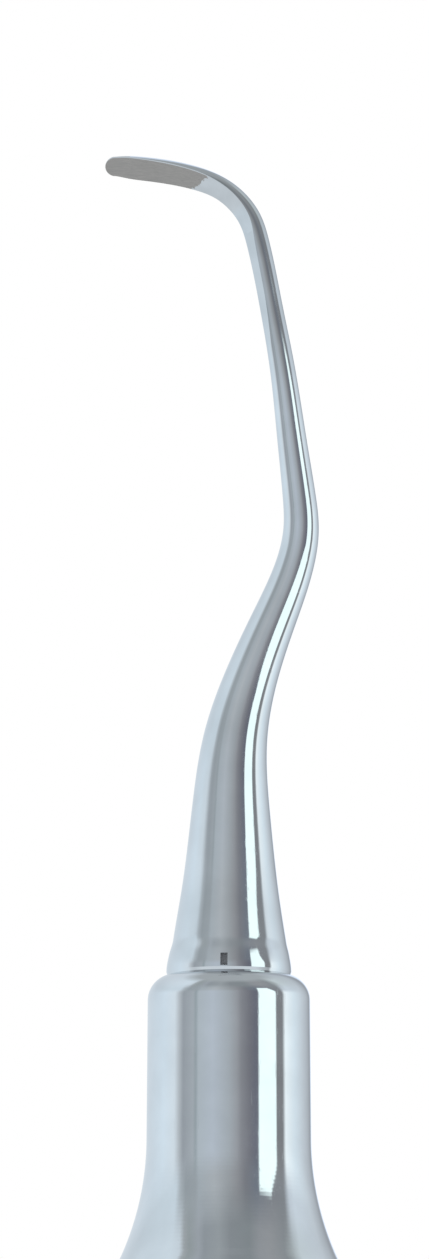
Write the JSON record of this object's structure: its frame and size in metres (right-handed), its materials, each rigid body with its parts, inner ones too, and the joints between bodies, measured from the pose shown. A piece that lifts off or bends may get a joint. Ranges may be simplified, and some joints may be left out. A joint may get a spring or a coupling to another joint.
{
  "type": "dental hand scaler",
  "caption": "Double-ended dental hand scaler: hollow knurled steel handle with screw-in tips, each a bent tapered shank and a short rounded blade, for scraping deposits off teeth.",
  "frame": {"origin": "centre of the handle, on its axis", "axes": "+Z along the handle to the front tip, whose toe points to -X and whose ground face looks to -Y"},
  "size_m": [0.011, 0.011, 0.1772],
  "materials": {
    "tip_steel": "mirror-polished stainless steel, ground face of the blade finely brushed",
    "nose_steel": "mirror-polished stainless steel",
    "tube_steel": "satin stainless steel with knurled grip zones",
    "seal_silicone": "matte silicone"
  },
  "bodies": {
    "handle": {"handle_tube": "tube_steel", "front_nose": "nose_steel", "rear_nose": "nose_steel"},
    "front_seal": {"front_seal_ring": "seal_silicone"},
    "front_tip": {"front_working_end": "tip_steel"},
    "rear_seal": {"rear_seal_ring": "seal_silicone"},
    "rear_tip": {"rear_working_end": "tip_steel"}
  },
  "joints": [
    {"name": "front_seal_lift", "type": "slide", "parent": "handle", "child": "front_seal", "axis": [0, 0, 1], "range_m": [0, 0.0042]},
    {"name": "front_tip_turn", "type": "hinge", "parent": "front_seal", "child": "front_tip", "pos_m": [0, 0, 0.0525], "axis": [0, 0, 1], "range_deg": [0, 2520]},
    {"name": "rear_seal_lift", "type": "slide", "parent": "handle", "child": "rear_seal", "axis": [0, 0, -1], "range_m": [0, 0.0042]},
    {"name": "rear_tip_turn", "type": "hinge", "parent": "rear_seal", "child": "rear_tip", "pos_m": [0, 0, -0.0525], "axis": [0, 0, -1], "range_deg": [0, 2520]}
  ],
  "couplings": [
    {"joint": "front_tip_turn", "follows": "front_seal_lift", "rad_per_m": 10472},
    {"joint": "rear_tip_turn", "follows": "rear_seal_lift", "rad_per_m": 10472}
  ]
}
